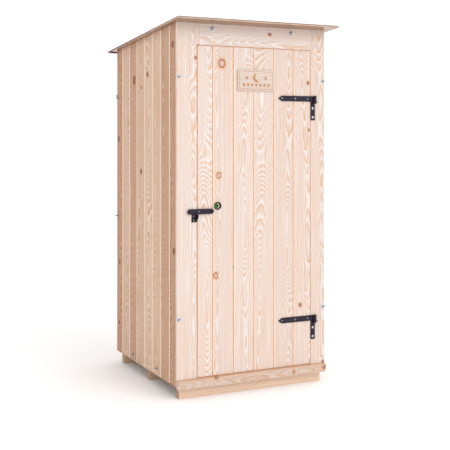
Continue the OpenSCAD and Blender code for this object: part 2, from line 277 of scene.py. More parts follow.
def pine(name, pale, late, knot_colour, groove_shade=None, highlight_depth=2.1 * MM, ring=0.0056, contrast=1.0,
         tone_depth=0.30, rough=0.56, ends=False):
    """Sawn pine as a solid texture: growth rings round a wandering pith, fibres and knots.

    Reads the boards' own attributes: grain is the point's place in its board (across, depth,
    along), board is (seed, pith offset, tone), and knot_a to knot_d are (across, along, radius).
    pale and late are the two woods of a ring, which is ring wide. The joint colour is painted
    shade in the grooves, and a left-hand chamfer gets a painted highlight down to the given depth.
    A board of tone 1 is darker by tone_depth.
    ends darkens the end grain."""
    g = Graph(name)
    across, depth, along = g.split(g.attribute("grain"))
    seed, pith, tone = g.split(g.attribute("board"))
    far = g.times(seed, SEED_SPREAD)

    def figure(rate, layer=far, detail=2.0, roughness=0.5):
        """Noise drawn out along the board."""
        place = g.join(g.times(across, rate[0]), layer, g.times(along, rate[1]))
        return g.noise(place, 1.0, detail, roughness)

    def swing(noise):
        return g.math("SUBTRACT", noise, 0.5)

    # The distance from the pith.
    drift = swing(figure(DRIFT_RATE, g.math("ADD", depth, far)))
    wave = swing(figure(WAVE_RATE))
    jag = swing(figure(JAG_RATE, roughness=0.6))
    off_a = g.math("SUBTRACT", across, g.math("MULTIPLY_ADD", drift, PITH_WANDER_ACROSS, pith))
    off_d = g.math("SUBTRACT", depth, g.math("MULTIPLY_ADD", drift, PITH_WANDER_DEPTH, PITH_DEPTH))
    radius = g.hypot(off_a, off_d)
    radius = g.math("MULTIPLY_ADD", wave, WAVE, radius)
    radius = g.math("MULTIPLY_ADD", jag, JAG, radius)

    # The rings bow round each knot, and are stronger there.
    mottle = g.noise(g.join(across, far, along), MOTTLE_RATE, 2.0)
    strength = g.fade(figure(PATCH_RATE), 0.30, 0.62, 0.55, 1.0)
    knots = []
    for layer in KNOT_LAYERS:
        near, size = knot_distance(g, mottle, across, along, g.attribute(layer))
        squared = g.times(near, near)
        radius = g.math("MULTIPLY_ADD", g.times(g.bell(squared, BOW_FALL), size), RING_BOW, radius)
        strength = g.math("MAXIMUM", strength, g.times(g.bell(squared, STIR_FALL), STIR))
        knots.append((near, size))

    # Each ring starts nearly white, darkens and ends sharply.
    phase = g.math("FRACT", g.math("DIVIDE", radius, ring))
    line = g.times(g.math("POWER", phase, RING_RISE), g.fade(phase, RING_END, 1.0, 1.0, 0.0))
    late_amount = g.times(g.times(line, strength), contrast)
    early_amount = g.times(g.fade(phase, 0.0, 0.5, 0.65, 0.0), strength)
    white = tuple(c + 0.6 * (0.95 - c) for c in pale)
    colour = g.mix(early_amount, pale, white)
    colour = g.mix(late_amount, colour, late)

    # Streaks and fibres run over the rings, and the board's tone tints it all.
    streak = figure(STREAK_RATE, detail=3.0, roughness=0.6)
    dark_streak = g.fade(streak, 0.50, 0.72, 0.0, 0.20)
    pale_streak = g.fade(streak, 0.28, 0.50, 0.30, 0.0)
    fibre = figure(FIBRE_RATE, g.times(depth, FIBRE_DEPTH_RATE), 3.0, 0.6)
    dark_fibre = g.fade(fibre, 0.3, 0.75, 0.0, 0.10)
    colour = g.mix(dark_streak, colour, late)
    colour = g.mix(pale_streak, colour, white)
    colour = g.mix(dark_fibre, colour, late)
    shade = g.math("MULTIPLY_ADD", g.times(tone, -1.0), tone_depth, 1.0)
    warm = g.join(g.math("POWER", shade, 0.8), g.math("POWER", shade, 1.35), g.math("POWER", shade, 1.85))
    colour = g.mix(1.0, colour, warm, "MULTIPLY")

    # Painted shade in the grooves and a painted highlight on the left-hand chamfers.
    if groove_shade:
        colour = paint_groove_light(g, colour, across, depth, groove_shade, white, highlight_depth)
    if ends:
        facing_end = g.math("ABSOLUTE", g.split(g.node("NewGeometry").outputs["Normal"])[0])
        colour = g.mix(g.fade(facing_end, 0.6, 0.9, 0.0, 0.85), colour, scaled(late, 0.72))
    colour = paint_knots(g, colour, knots, knot_colour, late)

    relief = g.math("MULTIPLY_ADD", late_amount, 0.55, g.times(fibre, 0.45))
    g.bump(relief, 0.22, 0.6 * MM)
    g.set(Base_Color=colour, Roughness=g.fade(fibre, 0.2, 0.8, rough - 0.05, rough + 0.08))
    g.set(Specular_IOR_Level=0.32)
    return g.material


# -------- other materials

PLY = 1.5 * MM
FILM_LINE = 6.7 * MM  # the dark line along the roof's edges, at y = 0
FILM_WIDENS = 4.3 * MM  # per metre towards the back
# painted shade for the roof's underside behind the cabin
PAINTED_BACK_SHADE = (0.075, 0.045, 0.065)
DARK_PLY = (0.30, 0.15, 0.08)
DARK_FILM = (0.085, 0.050, 0.060)


def roof_film(name, deep, light, painted_back_shade=False):
    """Film-faced birch plywood: a brown phenolic film that mirrors at low angles.

    The last argument paints shade on the overhang behind the cabin: nearly black there, and dull."""
    g = Graph(name)
    place = g.place()
    x, y, z = g.split(place)
    blotch = g.noise(place, 5.0, 4.0, 0.6)
    scuff = g.noise(g.join(g.times(x, 9.0), g.times(y, 160.0), z), 1.0, 3.0, 0.7)
    colour = g.mix(g.fade(blotch, 0.3, 0.7), deep, light)
    colour = g.mix(g.fade(scuff, 0.56, 0.8, 0.0, 0.25), colour, scaled(light, 1.6))
    if painted_back_shade:
        # Painted shade: the overhang behind the cabin is darkened to nearly black and made dull.
        back_shade = g.fade(y, left_high.y - 20 * MM, left_high.y + 10 * MM)
        colour = g.mix(back_shade, colour, PAINTED_BACK_SHADE)
        g.set(Specular_IOR_Level=g.math("MULTIPLY_ADD", back_shade, -0.5, 0.5))
    g.set(Base_Color=colour, Roughness=g.fade(blotch, 0.2, 0.8, 0.12, 0.22))
    g.bump(g.noise(place, 420.0, 2.0), 0.05, 0.3 * MM)
    return g.material


def plywood_edge():
    """The sheet's sawn edge: thin plies under a dark line of film that widens to the back."""
    g = Graph("roof_edge")
    x, y, z = g.split(g.place())
    from_top = g.math("SUBTRACT", g.math("MULTIPLY_ADD", y, -FALL, ROOF_TOP_Z), z)
    ply = g.math("FRACT", g.math("DIVIDE", from_top, PLY))
    blotch = g.noise(g.join(g.times(x, 6.0), g.times(y, 6.0), z), 4.0, 4.0, 0.6)
    colour = g.mix(g.fade(blotch, 0.3, 0.7), (0.50, 0.32, 0.215), (0.62, 0.43, 0.31))
    colour = g.mix(g.fade(ply, 0.45, 0.6, 0.0, 0.35), colour, DARK_PLY)
    film = g.math("DIVIDE", from_top, g.math("MULTIPLY_ADD", y, FILM_WIDENS, FILM_LINE))
    colour = g.mix(g.fade(film, 0.8, 1.2, 1.0, 0.0), colour, DARK_FILM)
    g.set(Base_Color=colour, Roughness=0.6)
    g.bump(ply, 0.2, 0.3 * MM)
    return g.material


def painted_steel():
    """Black powder coat with a fine orange peel and slightly polished high spots."""
    g = Graph("black_steel")
    place = g.place()
    peel = g.noise(place, 900.0, 2.0)
    wear = g.noise(place, 60.0, 4.0, 0.65)
    colour = g.mix(g.fade(wear, 0.55, 0.8, 0.0, 0.5), (0.014, 0.006, 0.018), (0.036, 0.020, 0.046))
    g.set(Base_Color=colour, Roughness=g.fade(wear, 0.3, 0.7, 0.38, 0.52))
    g.set(Specular_IOR_Level=0.3)
    g.bump(peel, 0.12, 0.2 * MM)
    return g.material


def zinc():
    """Bright blue-passivated zinc on small hardware."""
    g = Graph("zinc_steel")
    cloud = g.noise(g.place(), 240.0, 3.0)
    colour = g.mix(g.fade(cloud, 0.3, 0.7), (0.12, 0.22, 0.34), (0.58, 0.68, 0.78))
    g.set(Base_Color=colour, Metallic=1.0, Roughness=g.fade(cloud, 0.3, 0.7, 0.22, 0.36))
    g.bump(cloud, 0.08, 0.1 * MM)
    return g.material


def plastic(name, colour, rough):
    """Moulded plastic with a faint grain."""
    g = Graph(name)
    speck = g.noise(g.place(), 700.0, 2.0)
    lighter = tuple(min(1.0, 1.25 * c + 0.004) for c in colour)
    g.set(Base_Color=g.mix(g.fade(speck, 0.4, 0.7), colour, lighter))
    g.set(Roughness=g.fade(speck, 0.3, 0.7, rough - 0.04, rough + 0.05), Specular_IOR_Level=0.16)
    g.bump(speck, 0.06, 0.1 * MM)
    return g.material


def burnt_line():
    """Wood scorched to an orange brown by a branding tool."""
    g = Graph("burnt_wood")
    x, y, z = g.split(g.place())
    char = g.noise(g.join(g.times(x, 60.0), y, g.times(z, 420.0)), 1.0, 3.0, 0.6)
    g.set(Base_Color=g.mix(g.fade(char, 0.3, 0.7), (0.42, 0.17, 0.055), (0.60, 0.29, 0.11)))
    g.set(Roughness=0.7)
    g.bump(char, 0.3, 0.4 * MM)
    return g.material


def floor_paint():
    """The pale studio floor."""
    g = Graph("studio_floor")
    g.set(Base_Color=(0.965, 0.965, 0.965), Roughness=0.9)
    return g.material


# Each pine's colours: pale wood, late wood and knots.
# The front and side pines add a painted shade for their grooves and the depth of a painted highlight on
# left-hand chamfers.
FRONT = pine("front_pine", (0.668, 0.604, 0.582), (0.66, 0.32, 0.10), (0.60, 0.43, 0.42),
             groove_shade=(0.64, 0.31, 0.12), highlight_depth=3.3 * MM, ring=0.0066)
# The side pine is a darker, warmer copy of the front's: partly painted shade for the cabin's sides.
SIDE = pine("side_pine", (0.69, 0.495, 0.350), (0.52, 0.215, 0.075), (0.20, 0.072, 0.022),
            groove_shade=(0.50, 0.26, 0.13), highlight_depth=4.4 * MM, contrast=1.2, tone_depth=0.48)
FRAME_PINE = pine("frame_pine", (0.72, 0.56, 0.42), (0.52, 0.30, 0.15), (0.26, 0.13, 0.07))
BEAM = pine("beam_pine", (0.74, 0.56, 0.42), (0.54, 0.29, 0.13), (0.24, 0.11, 0.06),
            contrast=0.6, rough=0.72, ends=True)
SIGN = pine("sign_wood", (0.60, 0.505, 0.445), (0.52, 0.33, 0.20), (0.5, 0.3, 0.2),
            ring=0.009, contrast=0.5)
ROOF_TOP = roof_film("roof_film_top", (0.085, 0.046, 0.030), (0.125, 0.070, 0.044))
# The underside gets painted shade on its overhang behind the cabin.
ROOF_UNDER = roof_film("roof_film_under", (0.25, 0.125, 0.070), (0.31, 0.165, 0.095), painted_back_shade=True)
ROOF_EDGE = plywood_edge()
STEEL = painted_steel()
ZINC = zinc()
BLACK = plastic("black_plastic", (0.008, 0.008, 0.009), 0.42)
GREEN = plastic("green_plastic", (0.006, 0.26, 0.012), 0.30)
SILVER = plastic("silver_plastic", (0.70, 0.56, 0.40), 0.30)
BURNT = burnt_line()


# -------- mesh helpers


def finish_piece(name, bm, material, body, stands_for=()):
    """Turns a bmesh into a piece that rides on its body."""
    bmesh.ops.recalc_face_normals(bm, faces=bm.faces)
    mesh = bpy.data.meshes.new(name)
    bm.to_mesh(mesh)
    bm.free()
    mesh.materials.append(material)
    piece = bpy.data.objects.new(name, mesh)
    bpy.context.scene.collection.objects.link(piece)
    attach(piece, body)
    if stands_for:
        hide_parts(*stands_for)
    return piece


class Timber:
    """Collects boards and battens in one mesh, each with its own grain."""

    def __init__(self):
        self.bm = bmesh.new()
        self.layers = [self.bm.verts.layers.float_vector.new(name) for name in LAYERS]

    def prism(self, profile, stations, place, middle, marks, ceiling=None):
        """A bar of one profile (across, depth) along stations (along, inset).

        place turns (across, depth, along) into a point; middle is the grain's own zero.
        A station at TOP ends where ceiling(across, depth) says, under the roof."""
        mid_a = sum(a for a, d in profile) / len(profile)
        mid_d = sum(d for a, d in profile) / len(profile)
        rows = []
        for along, inset in stations:
            row = []
            for a, d in profile:
                a_in = a - math.copysign(inset, a - mid_a)
                d_in = d - math.copysign(inset, d - mid_d)
                reach = ceiling(a_in, d_in) if along == TOP else along
                vert = self.bm.verts.new(place(a_in, d_in, reach))
                grain = (a_in - middle[0], d_in - middle[1], reach - middle[2])
                for layer, value in zip(self.layers, (grain, *marks)):
                    vert[layer] = value
                row.append(vert)
            rows.append(row)
        count = len(profile)
        for low, high in zip(rows, rows[1:]):
            for i in range(count):
                j = (i + 1) % count
                self.bm.faces.new((low[i], low[j], high[j], high[i]))
        self.bm.faces.new(rows[0])
        self.bm.faces.new(rows[-1])

    def piece(self, name, material, body, slot, *stands_for):
        finish_piece(name, self.bm, material, body, stands_for)


def slab_profile(a0, a1, face, back, left, right, foot=0.0):
    """A board's section. Its face's edges are chamfered, left and right deep: the left chamfer
    is the broader, and the right one ends in a flat as wide as foot."""
    out = 1.0 if back > face else -1.0
    rear = 0.6 * MM
    return [
        (a0 + rear, back), (a1 - rear, back), (a1, back - out * rear),
        (a1, face + out * right), (a1 - foot, face + out * right), (a1 - foot - right, face),
        (a0 + LEFT_SPREAD * left, face), (a0, face + out * left), (a0, back - out * rear),
    ]


def with_tongue(profile, edge, face, reach):
    """A slab's section with a tongue on one edge, as boards have beside a door's gap."""
    side = math.copysign(1.0, edge - sum(a for a, d in profile) / len(profile))
    near_foot, near_tip, far_tip, far_foot = (face + depth for depth in TONGUE_DEPTHS)
    tip = edge + side * reach
    tongue = [(edge, far_foot), (tip, far_tip), (tip, near_tip), (edge, near_foot)]
    at = next(i for i, (a, d) in enumerate(profile) if a == edge and d > far_foot)
    if side < 0:
        return profile[:at] + tongue[::-1] + profile[at:]
    return profile[:at + 1] + tongue + profile[at + 1:]


def bar_profile(a0, a1, d0, d1, edge=EDGE):
    """A batten's section with eased corners."""
    return [
        (a0 + edge, d0), (a1 - edge, d0), (a1, d0 + edge), (a1, d1 - edge),
        (a1 - edge, d1), (a0 + edge, d1), (a0, d1 - edge), (a0, d0 + edge),
    ]


def marks_for(middle, half, knots, tone=None):
    """The board attributes: a seed, a pith offset and a tone, and the knots within half of middle."""
    seed = random.random()
    pith = random.uniform(-0.24, 0.24) * 2 * half
    level = random.uniform(0.05, 0.55) if tone is None else tone
    own = [(a - middle[0], s - middle[2], r) for a, s, r in knots if abs(a - middle[0]) <= half]
    own = own[:len(KNOT_LAYERS)]
    own += [NO_KNOT] * (len(KNOT_LAYERS) - len(own))
    return [(seed, pith, level), *own]


def stray_knots(a0, a1, s0, s1, count):
    """A few small knots at seeded places, for faces that need no particular ones."""
    return [
        (random.uniform(a0, a1), random.uniform(s0, s1), random.uniform(0.004, 0.011))
        for _ in range(count)
    ]


def in_mm(pairs):
    return [(a * MM, b * MM) for a, b in pairs]


def arc(cx, cz, radius, start, end, steps):
    """Points on a circle from start to end, in degrees."""
    angles = [math.radians(start + (end - start) * i / steps) for i in range(steps + 1)]
    return [(cx + radius * math.cos(t), cz + radius * math.sin(t)) for t in angles]


def plate(bm, front, back):
    """Closes two like outlines of vertices into a plate."""
    bm.faces.new(front)
    bm.faces.new(back[::-1])
    for i in range(len(front)):
        j = (i + 1) % len(front)
        bm.faces.new((front[i], back[i], back[j], front[j]))


# -------- boards


def facing_y(a, d, s):
    """Upright boards that face along Y."""
    return a, d, s


def facing_x(a, d, s):
    """Upright boards that face along X."""
    return d, a, s


def lying_x(a, d, s):
    """Timber that lies along X."""
    return s, d, a


def lying_y(a, d, s):
    """Flat boards that run along Y."""
    return a, s, d


def seams(start, end, first, pitch):
    """Board edges from start to end: the first board's width, then the pitch."""
    step = math.copysign(pitch, end - start)
    edges = [start, start + math.copysign(first, end - start)]
    while abs(end - edges[-1]) > pitch * 1.02:
        edges.append(edges[-1] + step)
    edges.append(end)
    return edges


def board_wall(timber, edges, face, back, z0, z1, place, knots, tones, groove=GROOVE):
    """Upright tongue-and-groove boards between the given edges, up to z1 or the roof."""

    def ceiling(a, d):
        return seat(place(a, d, 0)[1])

    last = len(edges) - 2
    for i, (a0, a1) in enumerate(zip(edges, edges[1:])):
        middle = ((a0 + a1) / 2, face, GRAIN_HEIGHT)
        left = EDGE if i == 0 else groove
        right = EDGE if i == last else groove
        profile = slab_profile(a0, a1, face, back, left, right, FLAT_EDGE if i == last else FOOT)
        bottom = z0 + random.uniform(0.0, 0.6) * MM
        stations = [(bottom, EDGE), (bottom + EDGE, 0.0)]
        stations += [(TOP, 0.0)] if z1 == TOP else [(z1 - EDGE, 0.0), (z1, EDGE)]
        marks = marks_for(middle, (a1 - a0) / 2, knots, tones[i % len(tones)])
        timber.prism(profile, stations, place, middle, marks, ceiling)


# Knots are (across, height, radius); tones go from board to board, 0 pale to 1 dark.
SIDE_KNOTS = [
    (-0.436, 2.018, 0.014), (0.198, 1.850, 0.020), (-0.036, 1.872, 0.012), (0.067, 1.797, 0.007),
    (0.075, 1.276, 0.012), (-0.455, 0.839, 0.014), (0.493, 1.479, 0.014), (0.479, 0.665, 0.013),
    (0.485, 0.267, 0.010), (0.014, 0.113, 0.007), (-0.120, 1.180, 0.005),
]
SIDE_TONES = (0.72, 0.60, 0.16, 0.06, 0.26, 0.62, 0.24, 0.78)
SIDE_FIRST_SEAM = -0.384
DOOR_KNOTS = [
    (-0.206, 1.915, 0.020), (-0.226, 1.268, 0.014), (-0.245, 0.691, 0.014), (-0.129, 0.731, 0.006),
    (0.317, 0.478, 0.010), (0.372, 1.818, 0.009), (0.377, 1.533, 0.007), (-0.254, 0.128, 0.009),
]
DOOR_TONES = (0.08, 0.20, 0.12, 0.16, 0.24, 0.20)
DOOR_FIRST_BOARD = 98 * MM
DECK_FIRST_BOARD = 0.1055
BRACE_CUT = 0.125  # a brace's width, measured level


def build_walls():
    sides = [left_low.y, *seams(SIDE_FIRST_SEAM, left_high.y, SIDE_PITCH, SIDE_PITCH)]
    timber = Timber()
    board_wall(timber, sides, left_low.x, left_high.x, left_low.z, TOP, facing_x, SIDE_KNOTS, SIDE_TONES)
    timber.piece("left_wall_boards", SIDE, "cabin", "side_pine", "left_wall")

    low, high = corners("right_wall")
    timber = Timber()
    knots = stray_knots(low.y, high.y, 0.2, 2.0, 14)
    board_wall(timber, sides, high.x, low.x, low.z, TOP, facing_x, knots, SIDE_TONES[::-1])
    timber.piece("right_wall_boards", SIDE, "cabin", "side_pine", "right_wall")

    timber = Timber()
    knots = stray_knots(back_low.x, back_high.x, 0.2, 2.0, 12)
    rear = seams(back_low.x, back_high.x, BOARD_PITCH, BOARD_PITCH)
    board_wall(timber, rear, back_high.y, back_low.y, back_low.z, TOP, facing_y, knots, SIDE_TONES[1:])
    timber.piece("back_wall_boards", SIDE, "cabin", "side_pine", "back_wall")


def front_board(node, gap_x, reach, knots, tone):
    """A full-height board beside the door. Below the lintel it ends at gap_x, in a tongue that
    reaches into the door's gap."""
    low, high = corners(node)
    middle = ((low.x + high.x) / 2, low.y, GRAIN_HEIGHT)
    marks = marks_for(middle, (high.x - low.x) / 2, knots, tone)
    on_left = gap_x > middle[0]
    lintel_z = corners("lintel_board")[0].z

    def section(x0, x1, chamfer):
        left, right = (EDGE, chamfer) if on_left else (chamfer, EDGE)
        return slab_profile(x0, x1, low.y, high.y, left, right)

    timber = Timber()
    x0, x1 = (low.x, gap_x) if on_left else (gap_x, high.x)
    lower = with_tongue(section(x0, x1, 2 * MM), gap_x, low.y, reach)
    stations = [(low.z, EDGE), (low.z + EDGE, 0.0), (lintel_z, 0.0)]
    timber.prism(lower, stations, facing_y, middle, marks)
    upper = section(low.x, high.x, 1.2 * MM)
    timber.prism(upper, [(lintel_z, 0.0), (TOP, 0.0)], facing_y, middle, marks, lambda a, d: seat(d))
    timber.piece(node + "_face", FRONT, "cabin", "front_pine", node)


def build_front():
    """The boards beside the door and the lintel board over it."""
    front_board("front_board_left", panel_low.x - 6 * MM, 5.2 * MM, [(-0.372, 1.942, 0.008)], 0.10)
    right_x = corners("front_board_right")[0].x
    front_board("front_board_right", right_x, 3.8 * MM, [(0.478, 0.118, 0.008)], 0.22)

    low, high = corners("lintel_board")
    timber = Timber()
    middle = ((low.z + high.z) / 2, low.y, 0.0)
    # Painted light: the lintel gets the palest tone, which offsets the roof's shadow over it.
    marks = marks_for(middle, 0.1, [(2.098, 0.109, 0.009)], 0.0)
    near_foot, near_tip, far_tip, far_foot = (low.y + depth for depth in TONGUE_DEPTHS)
    tip = low.z - 3.8 * MM
    profile = [
        (low.z + 2 * MM, low.y), (low.z, low.y + 2 * MM),
        (low.z, near_foot), (tip, near_tip), (tip, far_tip), (low.z, far_foot),
        (low.z, high.y), (seat(high.y), high.y), (seat(low.y), low.y),
    ]
    timber.prism(profile, [(low.x, 0.0), (high.x, 0.0)], lying_x, middle, marks)
    timber.piece("lintel_board_face", FRONT, "cabin", "front_pine", "lintel_board")


def build_door():
    edges = seams(panel_low.x, panel_high.x, DOOR_FIRST_BOARD, BOARD_PITCH)
    timber = Timber()
    board_wall(timber, edges, panel_low.y, panel_high.y, panel_low.z, panel_high.z, facing_y,
               DOOR_KNOTS, DOOR_TONES, FRONT_GROOVE)
    timber.piece("door_boards", FRONT, "door", "front_pine", "door_panel")


def batten(node, along, knots=2, material=FRAME_PINE, slot="frame_pine", body="cabin", tone=None, fall=False):
    """A planed batten in place of a box-shaped CAD node; fall shears it to the roof's slope."""
    low, high = corners(node)
    axes = {"X": (2, 1, 0), "Y": (0, 2, 1), "Z": (0, 1, 2)}[along]
    (a0, a1), (d0, d1), (s0, s1) = ((low[i], high[i]) for i in axes)
    if fall:
        rail_low, rail_high = corners("left_middle_rail")
        d0, d1 = -(rail_high.z - rail_low.z), 0.0

    def place(a, d, s):
        point = [0.0, 0.0, 0.0]
        for axis, value in zip(axes, (a, d, s)):
            point[axis] = value
        if fall:
            point[2] += seat(point[1])
        return point

    timber = Timber()
    middle = ((a0 + a1) / 2, (d0 + d1) / 2, (s0 + s1) / 2)
    spots = stray_knots(a0, a1, s0, s1, knots)
    marks = marks_for(middle, a1 - a0, spots, tone)
    stations = [(s0, EDGE), (s0 + EDGE, 0.0), (s1 - EDGE, 0.0), (s1, EDGE)]
    timber.prism(bar_profile(a0, a1, d0, d1), stations, place, middle, marks)
    timber.piece(node + "_wood", material, body, slot, node)


def roofed_batten(node):
    """A batten along X whose top follows the roof's fall."""
    low, high = corners(node)
    timber = Timber()
    middle = ((low.z + high.z) / 2, (low.y + high.y) / 2, 0.0)
    profile = [
        (low.z + EDGE, low.y), (low.z, low.y + EDGE), (low.z, high.y - EDGE), (low.z + EDGE, high.y),
        (seat(high.y), high.y), (seat(low.y), low.y),
    ]
    marks = marks_for(middle, 0.1, stray_knots(low.z, high.z, low.x, high.x, 2))
    timber.prism(profile, [(low.x, 0.0), (high.x, 0.0)], lying_x, middle, marks)
    timber.piece(node + "_wood", FRAME_PINE, "cabin", "frame_pine", node)


def build_brace(node):
    """A brace between two ledges, its ends cut level."""
    low, high = corners(node)
    half = BRACE_CUT / 2
    rise = high.z - low.z
    run = (high.x - low.x) - BRACE_CUT
    length = math.hypot(rise, run)

    def place(a, d, s):
        return (high.x - half - run * s / length + a, d, low.z + rise * s / length)

    timber = Timber()
    middle = (0.0, low.y, length / 2)
    marks = marks_for(middle, BRACE_CUT, stray_knots(-0.04, 0.04, 0.1, length - 0.1, 2))
    profile = bar_profile(-half, half, low.y, high.y)
    timber.prism(profile, [(0.0, 0.0), (length, 0.0)], place, middle, marks)
    timber.piece(node + "_wood", FRAME_PINE, "door", "frame_pine", node)


def build_floor():
    """The deck's boards run front to back between the rails."""
    low, high = corners("floor_deck")
    timber = Timber()
    half_gap = 0.3 * MM
    edges = seams(low.x, high.x, DECK_FIRST_BOARD, BOARD_PITCH)
    for x0, x1 in zip(edges, edges[1:]):
        middle = ((x0 + x1) / 2, high.z, 0.0)
        profile = slab_profile(x0 + half_gap, x1 - half_gap, high.z, low.z, 1.0 * MM, 1.0 * MM)
        marks = marks_for(middle, (x1 - x0) / 2, stray_knots(x0, x1, low.y, high.y, 1))
        timber.prism(profile, [(low.y, 0.0), (high.y, 0.0)], lying_y, middle, marks)
    timber.piece("floor_boards", FRAME_PINE, "cabin", "frame_pine", "floor_deck")


def build_sill():
    """The sill in front of the boards, with the low rebate that the door shuts against."""
    low, high = corners("front_sill")
    timber = Timber()
    middle = ((low.z + high.z) / 2, low.y, 0.0)
    knots = [(0.107, -0.250, 0.009), (0.084, 0.262, 0.006), (0.090, 0.475, 0.010)]
    marks = marks_for(middle, 0.1, knots, 0.75)
    ease = 2 * MM
    stations = [(low.x, ease), (low.x + ease, 0.0), (high.x - ease, 0.0), (high.x, ease)]
    timber.prism(bar_profile(low.z, high.z, low.y, high.y, 2.2 * MM), stations, lying_x, middle, marks)

    rebate = bar_profile(high.z - 2 * MM, high.z + 4 * MM, panel_low.y + 3.4 * MM, panel_high.y)
    middle = (high.z - 2.5 * MM, panel_low.y, 0.0)
    timber.prism(rebate, [(panel_low.x, 0.0), (panel_high.x, 0.0)], lying_x, middle, marks)
    timber.piece("front_sill_wood", FRONT, "cabin", "front_pine", "front_sill")


build_walls()
build_front()
build_door()
build_floor()
build_sill()
for beam_node in ("front_beam", "middle_beam", "back_beam"):
    batten(beam_node, "X", 1, BEAM, "beam_pine", tone=0.25)
for side in ("left", "right"):
    batten(side + "_floor_rail", "Y")
    batten(side + "_middle_rail", "Y")
    batten(side + "_top_rail", "Y", fall=True)
    batten("door_post_" + side, "Z", 3)
for rail_node in ("back_middle_rail", "back_bottom_rail"):
    batten(rail_node, "X")
for ledge_node in ("door_ledge_top", "door_ledge_middle", "door_ledge_bottom"):
    batten(ledge_node, "X", 3, body="door")
roofed_batten("door_header")
roofed_batten("back_top_rail")
build_brace("door_brace_upper")
build_brace("door_brace_lower")


def build_roof():
    """The roof sheet: film on both faces, plies on its edges."""
    bm = bmesh.new()
    x0, x1, y0, y1 = roof_low.x, roof_high.x, roof_low.y, roof_high.y
    rim = []
    for x, y in ((x0, y0), (x1, y0), (x1, y1), (x0, y1)):
        top = ROOF_TOP_Z - FALL * y
        rim.append((bm.verts.new((x, y, top)), bm.verts.new((x, y, top - ROOF_THICK))))
    bm.faces.new([top for top, below in rim]).material_index = 0
    bm.faces.new([below for top, below in rim][::-1]).material_index = 1
    for i in range(4):
        j = (i + 1) % 4
        bm.faces.new((rim[i][0], rim[i][1], rim[j][1], rim[j][0])).material_index = 2
    sheet = finish_piece("roof_sheet_ply", bm, ROOF_TOP, "cabin", ["roof_sheet"])
    sheet.data.materials.append(ROOF_UNDER)
    sheet.data.materials.append(ROOF_EDGE)
    soft = sheet.modifiers.new("soft_edges", "BEVEL")
    soft.width = 0.7 * MM
    soft.segments = 2
    soft.material = 2


build_roof()


# -------- CAD nodes that stay


def dress(node, material, bevel):
    """A CAD node keeps its shape and gets a material and softly rounded edges."""
    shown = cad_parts[node]
    for material_slot in shown.material_slots:
        material_slot.material = material
    soft = shown.modifiers.new("soft_edges", "BEVEL")
    soft.width = bevel
    soft.segments = 2
    soft.limit_method = "ANGLE"
    soft.angle_limit = math.radians(40)


for steel_node in (
    "hinge_plate_upper", "hinge_plate_lower", "hinge_strap_upper", "hinge_strap_lower",
    "latch_catch", "latch_base", "latch_pivot", "latch_bar",
):
    dress(steel_node, STEEL, 0.6 * MM)
for plastic_node in ("bolt_case", "thumb_turn"):
    dress(plastic_node, BLACK, 1.0 * MM)
dress("bolt_rod", ZINC, 0.8 * MM)


# -------- fixings


def facing(at, normal, turn=0.0):
    """A matrix that puts local +Z along normal at a point, turned about it."""
    spin = Matrix.Rotation(math.radians(turn), 4, "Z")
    aim = Vector(normal).to_track_quat("Z", "Y").to_matrix().to_4x4()
    return Matrix.Translation(Vector(at)) @ aim @ spin


def lathe(bm, profile, matrix, steps=24):
    """A turned shape from (radius, height) pairs; a radius of 0 closes it."""
    rings = []
    for radius, height in profile:
        if radius == 0:
            rings.append([bm.verts.new(matrix @ Vector((0, 0, height)))])
            continue
        angles = [math.tau * i / steps for i in range(steps)]
        points = [Vector((radius * math.cos(t), radius * math.sin(t), height)) for t in angles]
        rings.append([bm.verts.new(matrix @ point) for point in points])
    for low, high in zip(rings, rings[1:]):
        for i in range(steps):
            j = (i + 1) % steps
            if len(low) == 1:
                face = (low[0], high[j], high[i])
            elif len(high) == 1:
                face = (low[i], low[j], high[0])
            else:
                face = (low[i], low[j], high[j], high[i])
            bm.faces.new(face).smooth = True


def wing(bm, matrix, side):
    """One wing of a wing nut: a plate with a round lobe, thinner away from the hub. In mm."""
    lobe = arc(10.9, 11.6, 3.4, -20, 178, 9)
    outline = [(3.2, 1.0), (6.0, 1.6), (9.5, 4.0), (12.6, 8.0), *lobe, (6.2, 9.6), (4.6, 7.6), (3.2, 7.0)]
    front, back = [], []
    for x, z in outline:
        half_thick = 1.7 if x < 5 else 1.1
        front.append(bm.verts.new(matrix @ Vector((side * x * MM, half_thick * MM, z * MM))))
        back.append(bm.verts.new(matrix @ Vector((side * x * MM, -half_thick * MM, z * MM))))
    plate(bm, front, back)


def wing_nut(bm, at, normal, turn):
    """A wing nut on its washer and bolt end."""
    matrix = facing(at, normal, turn)
    washer = [(0, 0), (8.5, 0), (8.9, 0.4), (8.9, 1.2), (8.5, 1.6), (0, 1.6)]
    hub = [(0, 1.6), (6.0, 1.6), (6.2, 2.2), (5.0, 8.6), (4.5, 9.2), (0, 9.2)]
    bolt = [(0, 9.0)]
    for thread in range(7):
        bolt += [(2.9, 9.2 + thread), (2.5, 9.7 + thread)]
    bolt += [(2.4, 16.4), (1.4, 17.2), (0, 17.4)]
    lathe(bm, in_mm(washer), matrix)
    lathe(bm, in_mm(hub), matrix)
    lathe(bm, in_mm(bolt), matrix, 16)
    raised = matrix @ Matrix.Translation((0, 0, 1.2 * MM))
    wing(bm, raised, 1)
    wing(bm, raised, -1)


def dome_head(bm, at, normal, radius, height):
    """A smooth domed bolt head."""
    profile = [(0, 0), (radius, 0)]
    for degrees in range(0, 81, 16):
        t = math.radians(degrees)
        profile.append((radius * math.cos(t), height * (0.25 + 0.75 * math.sin(t))))
    lathe(bm, profile + [(0, height)], facing(at, normal))


